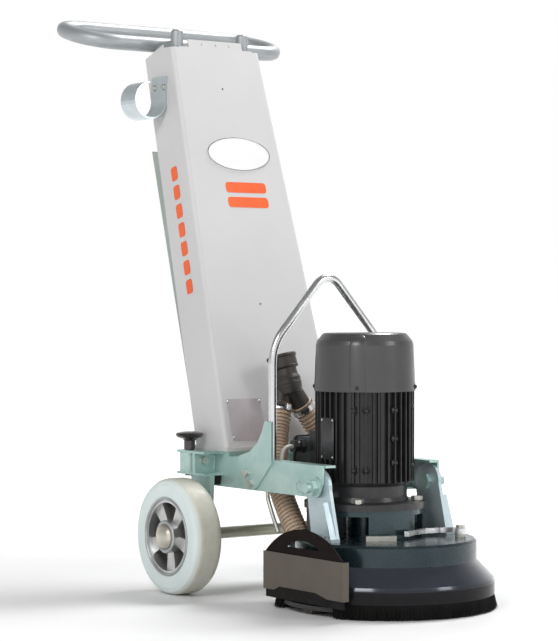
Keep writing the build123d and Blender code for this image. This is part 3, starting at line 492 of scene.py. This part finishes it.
def facing(at, normal, up=(0, 0, 1)):
    """A frame at a point, its +Z along the normal."""
    z = Vector(normal).normalized()
    x = Vector(up).cross(z)
    if x.length < 1e-4:
        x = Vector((1, 0, 0))
    x.normalize()
    y = z.cross(x)
    rotation = Matrix((x, y, z)).transposed().to_4x4()
    return Matrix.Translation(Vector(at)) @ rotation


def spline_points(points, name, per_span=24):
    """The smooth line of a route, read from a NURBS spline whose control points are the route's."""
    data = bpy.data.curves.new(name, "CURVE")
    data.dimensions = "3D"
    data.resolution_u = per_span
    spline = data.splines.new("NURBS")
    spline.points.add(len(points) - 1)
    for point, at in zip(spline.points, points):
        point.co = (*at, 1.0)
    spline.order_u = 3
    spline.use_endpoint_u = True
    holder = bpy.data.objects.new(name, data)
    bpy.context.scene.collection.objects.link(holder)
    bpy.context.view_layer.update()
    mesh = bpy.data.meshes.new_from_object(holder)
    line = [v.co.copy() for v in mesh.vertices]
    bpy.data.objects.remove(holder)
    bpy.data.meshes.remove(mesh)
    return line


def even_points(line, step):
    """Points along a line at an even spacing, with the first and last kept."""
    lengths = [0.0]
    for a, b in zip(line, line[1:]):
        lengths.append(lengths[-1] + (b - a).length)
    count = max(2, round(lengths[-1] / step))
    wanted = np.linspace(0.0, lengths[-1], count + 1)
    columns = [np.interp(wanted, lengths, [p[k] for p in line]) for k in range(3)]
    return [Vector(p) for p in zip(*columns)], lengths[-1]


def frames_along(points):
    """Two steady side directions at each point of a line."""
    tangents = [(b - a).normalized() for a, b in zip(points, points[1:])]
    tangents.append(tangents[-1])
    side = tangents[0].orthogonal().normalized()
    out = []
    for tangent in tangents:
        side = (side - tangent * side.dot(tangent)).normalized()
        out.append((side, tangent.cross(side)))
    return out


# ======================= dust hoses =======================
HOSE_R, HOSE_PITCH, RIB_DEPTH = 0.020, 0.0072, 0.0026
RING_BORE = 0.0215


def moved(points):
    """Route points in machine millimetres, put in the frame's metres."""
    return [Vector((x / 1000 + MOTOR.x, y / 1000, z / 1000)) for x, y, z in points]


RIGHT_ROUTE = [(-214, -20, 326), (-209, -28, 296), (-196, -42, 262), (-174, -58, 226), (-146, -73, 190),
               (-110, -80, 148), (-72, -84, 107.5)]
LEFT_ROUTE = [(-205, 17, 324), (-203, 36, 298), (-198, 53, 270), (-184, 66, 239), (-156, 74, 200),
              (-117, 78, 155), (-72, 84, 107.5)]
BRANCH, BRANCH_LEAN, BRANCH_ROLL = (-208, -7, 356), -16.0, 7.0
CABLE_ROUTE = [(-110, -70, 258), (-110, -82, 258), (-106, -93, 251), (-102, -98.5, 239), (-100.5, -99, 223)]


def hose(name, node, route, materials):
    """A corrugated suction hose: a raised spiral rib over a thinner web."""
    around, per_turn = 40, 12
    points, length = even_points(spline_points(route, name + "_line"), HOSE_PITCH / per_turn)
    sides = frames_along(points)
    vertices, faces, indices = [], [], []
    for point_number, (point, (u, v)) in enumerate(zip(points, sides)):
        for j in range(around):
            angle = 2 * math.pi * j / around
            phase = (point_number / per_turn - j / around) % 1.0
            lift = max(0.0, math.cos(2 * math.pi * (phase - 0.5))) ** 0.7
            r = HOSE_R - RIB_DEPTH * (1 - lift)
            vertices.append(point + (u * math.cos(angle) + v * math.sin(angle)) * r)
    for i in range(len(points) - 1):
        for j in range(around):
            a, b = i * around + j, i * around + (j + 1) % around
            faces.append((a, b, b + around, a + around))
            phase = ((i + 0.5) / per_turn - (j + 0.5) / around) % 1.0
            indices.append(1 if 0.40 < phase < 0.60 else 0)
    faces.append(tuple(range(around))[::-1])
    last = (len(points) - 1) * around
    faces.append(tuple(range(last, last + around)))
    indices += [0, 0]
    piece = new_piece(name, vertices, faces, "head", "hose", [materials["web"], materials["rib"]],
                      indices=indices)
    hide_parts(node)


def motor_cable(materials):
    data = bpy.data.curves.new("motor_lead", "CURVE")
    data.dimensions = "3D"
    data.bevel_depth = 0.004
    data.bevel_resolution = 6
    data.resolution_u = 24
    data.use_fill_caps = True
    spline = data.splines.new("NURBS")
    route = moved(CABLE_ROUTE)
    spline.points.add(len(route) - 1)
    for point, at in zip(spline.points, route):
        point.co = (*at, 1.0)
    spline.order_u = 3
    spline.use_endpoint_u = True
    data.materials.append(materials["cable"])
    piece = bpy.data.objects.new("motor_lead", data)
    bpy.context.scene.collection.objects.link(piece)
    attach(piece, "head")
    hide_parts("motor_cable")


def hose_details(materials):
    """Worm screws on the hose clamps and rings on the leaning branch piece."""
    parts = []
    for route in (RIGHT_ROUTE, LEFT_ROUTE):
        a, b = moved(route[:2])
        along = (b - a).normalized()
        out = Vector((0.8, -0.6, 0.0))
        out = (out - along * out.dot(along)).normalized()
        across = along.cross(out)
        centre = a + along * 0.006 + out * 0.0240
        place = Matrix((across, out, along)).transposed().to_4x4()
        place = Matrix.Translation(centre - across * 0.008) @ place @ Matrix.Rotation(math.pi / 2, 4, "Y")
        parts.append(hex_screw(place, 0.0040, 0.016))
    new_piece("clamp_screws", *joined(parts), "head", "bright_steel", materials["wye"], False)
    roll = Matrix.Rotation(math.radians(BRANCH_ROLL), 4, "X")
    lean = roll @ Matrix.Rotation(math.radians(BRANCH_LEAN), 4, "Y")
    place = Matrix.Translation(moved([BRANCH])[0]) @ lean
    rings = []
    # height up the branch, outside radius and thickness of each ring
    for z, r, h in ((0.0530, 0.0268, 0.005), (0.0335, 0.0256, 0.003), (0.0115, 0.0237, 0.004),
                    (0.0030, 0.0237, 0.004)):
        half = h / 2
        profile = [(RING_BORE, -half), (r - 0.001, -half), (r, -half + 0.001), (r, half - 0.001),
                   (r - 0.001, half), (RING_BORE, half)]
        rings.append(ring_mesh(profile, 56, place @ Matrix.Translation((0, 0, z))))
    new_piece("branch_rings", *joined(rings), "head", "wye", materials["wye"])


# ======================= brush skirt =======================
def brush_skirt(materials):
    """A ring of bristles set in a strip, splayed a little, cut level at the floor."""
    low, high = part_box("brush_skirt")
    flat_y = low.y + 0.0005
    top, top_r, foot_r = high.z, 0.1785, 0.1825
    vertices, faces = [], []
    count, rows, wide = 900, 4, 0.00075
    for row in range(rows):
        for i in range(count):
            angle = 2 * math.pi * (i + random.random() * 0.8 + row / rows) / count
            spread = foot_r - 0.0032 * row + random.uniform(-0.0012, 0.0022)
            r_top = top_r - 0.0006 * row
            swing = random.uniform(-0.006, 0.006)
            foot = random.uniform(0.0, 0.0022)
            a = HEAD + Vector((r_top * math.cos(angle), r_top * math.sin(angle), top))
            b = HEAD + Vector((spread * math.cos(angle + swing), spread * math.sin(angle + swing), foot))
            if min(a.y, b.y) < flat_y:
                continue
            tangent = Vector((-math.sin(angle), math.cos(angle), 0))
            normal = Vector((math.cos(angle), math.sin(angle), 0))
            corners = [tangent * wide, tangent * -wide + normal * wide * 0.3, normal * wide]
            start = len(vertices)
            vertices += [a + c for c in corners] + [b + c * 0.6 for c in corners]
            for k in range(3):
                n = (k + 1) % 3
                faces.append((start + k, start + n, start + 3 + n, start + 3 + k))
            faces.append((start + 3, start + 4, start + 5))
            faces.append((start + 2, start + 1, start))
    skirt = new_piece("bristles", vertices, faces, "head", "bristle", materials["bristle"], False)
    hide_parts("brush_skirt")


# ======================= motor details =======================
def on_motor(angle_deg, z, r):
    angle = math.radians(angle_deg)
    out = Vector((math.cos(angle), math.sin(angle), 0))
    return facing(MOTOR + out * r + Vector((0, 0, z)), out)


LUG_R = 0.0795
COVER_RIB_AT, MOTOR_PLATE_AT = -46, -86        # degrees round the motor from straight ahead
CROWN_R, CROWN_Z = 0.0752, 0.4445              # where the fan cover's shoulder turns into its top


def motor_details(materials):
    screws = []
    lug = [(0.0001, -0.008), (0.0068, -0.008), (0.0068, 0.0), (0.0055, 0.0012), (0.0001, 0.0012)]
    for angle, z in ((-51, 0.325), (-36, 0.325), (-51, 0.226), (-36, 0.226), (1, 0.278), (1, 0.325),
                     (1, 0.238), (36, 0.332), (36, 0.232), (90, 0.325), (90, 0.226), (127, 0.325),
                     (127, 0.226)):
        place = on_motor(angle, z, LUG_R)
        screws += [domed_screw(place, 0.0036, 0.0055), ring_mesh(lug, 24, place)]
    new_piece("motor_lugs", *joined(screws), "head", "motor_black", materials["motor"])
    # raised rib up the fan cover, over its shoulder
    outline = [(0.0850, FIN_TOP + 0.001), (0.0820, 0.431), (0.0800, 0.438), (CROWN_R, CROWN_Z)]
    across = [(-9.6, -0.6), (-9.2, 0.9), (-7.6, 1.5), (0, 1.7), (7.6, 1.5), (9.2, 0.9), (9.6, -0.6)]
    vertices, faces = [], []
    for r, z in outline:
        for turn, lift in across:
            angle = math.radians(COVER_RIB_AT + turn)
            vertices.append(MOTOR + Vector(((r + lift / 1000) * math.cos(angle),
                                            (r + lift / 1000) * math.sin(angle), z)))
    width = len(across)
    crown = 6
    for k in range(1, crown + 1):
        share = k / crown
        for turn, lift in across:
            angle = math.radians(COVER_RIB_AT + turn * math.cos(share * math.pi / 2))
            r = CROWN_R - 0.005 * math.sin(share * math.pi / 2) + lift / 1000 * (1 - share)
            z = CROWN_Z + 0.0055 * math.sin(share * math.pi / 2)
            vertices.append(MOTOR + Vector((r * math.cos(angle), r * math.sin(angle), z)))
    rows = len(outline) + crown
    for i in range(rows - 1):
        for j in range(width - 1):
            a = i * width + j
            faces.append((a, a + 1, a + 1 + width, a + width))
    new_piece("fan_cover_rib", vertices, faces, "head", "fan_grey", materials["fan"])
    cover_screws = [domed_screw(on_motor(COVER_RIB_AT + turn, FIN_TOP + 0.007, 0.0846), 0.0034, 0.0035)
                    for turn in (0, 90, 180, 270)]
    new_piece("fan_cover_screws", *joined(cover_screws), "head", "motor_black", materials["motor"])
    # blank rating plate on the motor's side, with its four rivets
    half, low_z, high_z = 11.0, 0.243, 0.312
    vertices, faces = [], []
    for z in (low_z, high_z):
        for r in (0.0835, 0.0845):
            for k in range(9):
                angle = math.radians(MOTOR_PLATE_AT + half * (k / 4 - 1))
                vertices.append(MOTOR + Vector((r * math.cos(angle), r * math.sin(angle), z)))
    for k in range(8):
        faces.append((9 + k, 10 + k, 28 + k, 27 + k))
        faces.append((k, 18 + k, 19 + k, 1 + k))
        faces.append((k, k + 1, k + 10, k + 9))
        faces.append((18 + k, 27 + k, 28 + k, 19 + k))
    faces += [(0, 9, 27, 18), (8, 26, 35, 17)]
    new_piece("motor_plate", vertices, faces, "head", "plate", materials["motor_plate"])
    rivets = [domed_screw(on_motor(a, z, 0.0844), 0.0013, 0.001, 12)
              for a in (MOTOR_PLATE_AT - 9, MOTOR_PLATE_AT + 9) for z in (low_z + 0.004, high_z - 0.004)]
    new_piece("motor_plate_rivets", *joined(rivets), "head", "bolt_steel", materials["bolt"])


# ======================= column details =======================
def on_column_front(z, y, out=0.0):
    x = COLUMN_FRONT - COLUMN_LEAN * (z - COLUMN_BASE)
    normal = Vector((math.cos(LEAN), 0, math.sin(LEAN)))
    return facing(Vector((x, y, z)) + normal * out, normal)


def on_column_rear(z, y, out=0.0):
    x = COLUMN_FRONT - COLUMN_DEPTH - COLUMN_LEAN * (z - COLUMN_BASE)
    normal = Vector((-math.cos(LEAN), 0, -math.sin(LEAN)))
    return facing(Vector((x, y, z)) + normal * out, normal)


def column_half(z):
    """Half the column's width at a height."""
    return COLUMN_HALF - COLUMN_NARROWS * (z - COLUMN_BASE) / COLUMN_RISE


def rounded_bar(place, width, height, radius, thick, steps=6):
    """A flat bar with round corners, its face on the place's +Z."""
    outline = []
    for cx, cy, start in ((1, 1, 0), (-1, 1, 90), (-1, -1, 180), (1, -1, 270)):
        for k in range(steps + 1):
            angle = math.radians(start + 90 * k / steps)
            outline.append((cx * (width / 2 - radius) + radius * math.cos(angle),
                            cy * (height / 2 - radius) + radius * math.sin(angle)))
    n = len(outline)
    vertices = [place @ Vector((x, y, z)) for z in (0.0, thick) for x, y in outline]
    faces = [tuple(range(n))[::-1], tuple(range(n, 2 * n))]
    faces += [(i, (i + 1) % n, (i + 1) % n + n, i + n) for i in range(n)]
    return vertices, faces


STRIPE_THICK = 0.0004
BADGE_WIDE, BADGE_HIGH, BADGE_EDGE = 0.068, 0.032, 0.0013          # the oval's half axes and its dark edge


def column_details(materials):
    # plain stripes in place of any lettering
    bars = [rounded_bar(on_column_front(z, 0.013, 0.0001), 0.088, 0.020, 0.006, STRIPE_THICK)
            for z in (0.711, 0.684)]
    side_normal = Vector((0, -1, SIDE_SLOPE))
    for k in range(7):
        z = 0.735 - 0.034 * k
        x = COLUMN_FRONT - 0.047 - COLUMN_LEAN * (z - COLUMN_BASE)
        y = -column_half(z) - 0.0004
        along = Vector((-COLUMN_LEAN, SIDE_SLOPE, 1))
        bars.append(rounded_bar(facing((x, y, z), side_normal, along), 0.019, 0.026, 0.005, STRIPE_THICK))
    new_piece("column_stripes", *joined(bars), "chassis", "column_white", materials["orange"], False)
    # dark edging round the oval badge
    place = on_column_front(0.773, 0.010, 0.0013)
    vertices, faces = [], []
    count = 96
    for k in range(count):
        angle = 2 * math.pi * k / count
        for grow, lift in ((0.0, -0.0004), (0.0, 0.0003), (-BADGE_EDGE, 0.0003), (-BADGE_EDGE, -0.0004)):
            vertices.append(place @ Vector(((BADGE_WIDE + grow) * math.cos(angle),
                                            (BADGE_HIGH + grow) * math.sin(angle), lift)))
    for k in range(count):
        for j in range(4):
            a, b = 4 * k + j, 4 * k + (j + 1) % 4
            c, d = 4 * ((k + 1) % count) + (j + 1) % 4, 4 * ((k + 1) % count) + j
            faces.append((a, b, c, d))
    new_piece("badge_edging", vertices, faces, "chassis", "plate", materials["edging"])
    rivets = [domed_screw(on_column_front(z, y, 0.0007), 0.0017, 0.0012, 12)
              for z in (0.267, 0.329) for y in (-0.1065, -0.0395)]
    new_piece("plate_rivets", *joined(rivets), "chassis", "bolt_steel", materials["bolt"])
    # screws down both edges of the rear door
    screws = []
    for z in (0.36, 0.50, 0.64, 0.76):
        half = column_half(z) - 0.016
        out = 0.004 + 0.020 * (z - 0.330) / 0.447
        screws += [domed_screw(on_column_rear(z, y, out), 0.0034, 0.003) for y in (-half, half)]
    new_piece("door_screws", *joined(screws), "chassis", "bolt_steel", materials["bolt"])
    corners = [domed_screw(on_column_rear(0.854 + dz, y, 0.003), 0.003, 0.0026)
               for dz in (-0.058, 0.058) for y in (-0.068, 0.068)]
    new_piece("panel_screws", *joined(corners), "chassis", "bolt_steel", materials["bolt"])
    place = on_column_rear(0.872, -0.036, 0.003)
    collar = ring_mesh([(0.009, 0.0), (0.024, 0.0), (0.024, 0.0007), (0.0225, 0.0015), (0.009, 0.0015)],
                       48, place)
    new_piece("stop_collar", *collar, "chassis", "panel_black", materials["yellow"])


# ======================= wheels and chassis details =======================
def wheel_details(materials):
    for side, name in ((-1, "right"), (1, "left")):
        low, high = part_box("wheel_rim_" + name)
        centre = (low + high) / 2
        outer = Vector((centre.x, side * max(abs(low.y), abs(high.y)), centre.z))
        place = facing(outer, (0, side, 0))
        # machined lip where the tyre meets the rim, and the ring round the hub cap
        lip = ring_mesh([(0.0622, -0.006), (0.0655, -0.006), (0.0672, -0.001), (0.0660, 0.0006),
                         (0.0632, 0.0)], 96, place)
        hub = ring_mesh([(0.0212, -0.001), (0.0285, -0.001), (0.0285, 0.0008), (0.0262, 0.0022),
                         (0.0232, 0.0022), (0.0212, 0.0008)], 72, place)
        new_piece("rim_lip_" + name, *joined([lip, hub]), "wheel_" + name, "rim_aluminium",
                  materials["rim_edge"])


def weld_bead(points, r=0.0022):
    """A row of overlapping weld ripples along a straight joint."""
    a, b = Vector(points[0]), Vector(points[1])
    length = (b - a).length
    along = (b - a).normalized()
    side = along.orthogonal().normalized()
    up = along.cross(side)
    rings, around = max(8, int(length / 0.0011)), 8
    vertices, faces = [], []
    for i in range(rings + 1):
        swell = r * (0.86 + 0.18 * math.sin(i * 2.1)) * (0.25 if i in (0, rings) else 1)
        for j in range(around):
            angle = 2 * math.pi * j / around
            outwards = side * math.cos(angle) + up * math.sin(angle)
            vertices.append(a + along * (length * i / rings) + outwards * swell)
    for i in range(rings):
        for j in range(around):
            p, q = i * around + j, i * around + (j + 1) % around
            faces.append((p, q, q + around, p + around))
    return vertices, faces


WELD_Y = 0.1242


def chassis_details(materials):
    beads = []
    for side in (-1, 1):
        for z in (0.2405, 0.207):
            beads.append(weld_bead([(MOTOR.x + x, side * WELD_Y, z) for x in (-0.324, -0.242)]))
        beads.append(weld_bead([(MOTOR.x - 0.268, side * WELD_Y, z) for z in (0.210, 0.238)]))
    new_piece("weld_beads", *joined(beads), "chassis", "zinc", materials["zinc"])


def stage(materials):
    corners = [(x * FLOOR_HALF, y * FLOOR_HALF, 0) for x, y in ((-1, -1), (1, -1), (1, 1), (-1, 1))]
    mesh = bpy.data.meshes.new("floor")
    mesh.from_pydata(corners, [], [(0, 1, 2, 3)])
    mesh.materials.append(materials["floor"])
    floor = bpy.data.objects.new("floor", mesh)
    bpy.context.scene.collection.objects.link(floor)


make_camera()
make_world()
area_light("key", (1.4, -2.4, 2.2), (0.0, 0, 0.5), (1.2, 1.2), 34)
area_light("fill", (3.0, 1.6, 1.9), (0.2, 0, 0.35), (0.9, 1.8), 26)
area_light("rim", (-0.5, 1.7, 3.2), (0, 0, 0.2), (1.0, 1.0), 100)
bpy.context.scene.view_settings.view_transform = "Standard"
MATERIALS = make_materials()
finish_nodes(MATERIALS)
stage(MATERIALS)
hose("hose_right", "dust_hose_right", moved(RIGHT_ROUTE), MATERIALS)
hose("hose_left", "dust_hose_left", moved(LEFT_ROUTE), MATERIALS)
motor_cable(MATERIALS)
hose_details(MATERIALS)
brush_skirt(MATERIALS)
motor_details(MATERIALS)
column_details(MATERIALS)
wheel_details(MATERIALS)
chassis_details(MATERIALS)
